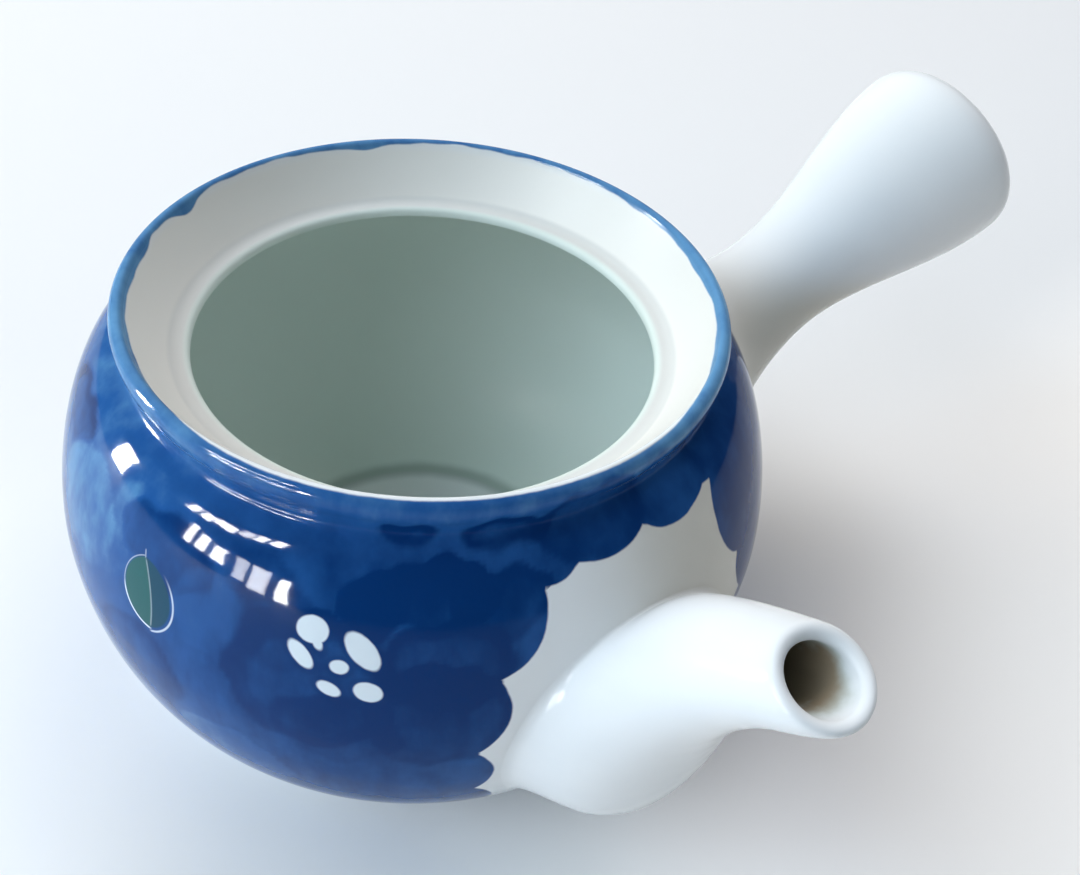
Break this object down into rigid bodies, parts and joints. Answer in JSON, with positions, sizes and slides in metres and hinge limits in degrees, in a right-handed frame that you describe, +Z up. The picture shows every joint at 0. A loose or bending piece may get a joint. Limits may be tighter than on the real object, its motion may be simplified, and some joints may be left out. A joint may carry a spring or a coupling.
{
  "type": "side-handled teapot",
  "caption": "Porcelain kyusu teapot with a hollow side handle, a short S-curved spout with a pierced strainer behind it, a foot ring and a recessed seat for a lid",
  "frame": {"origin": "the centre of the foot ring, on the table", "axes": "+Z is up along the pot's axis, +X points along the spout, and the handle leaves the pot near +Y"},
  "size_m": [0.1466, 0.1791, 0.0863],
  "materials": {
    "painted_porcelain": "cobalt blue brushwork under a clear gloss glaze, white by the spout and pale celadon inside",
    "white_porcelain": "white porcelain under a clear gloss glaze",
    "strainer_porcelain": "pale porcelain with a thin glaze",
    "fired_slip": "white fired slip under the glaze"
  },
  "bodies": {
    "root": {"body": "painted_porcelain", "spout": "white_porcelain", "handle": "white_porcelain", "strainer": "strainer_porcelain", "spout_slip": "fired_slip", "handle_slip": "fired_slip"}
  },
  "joints": []
}
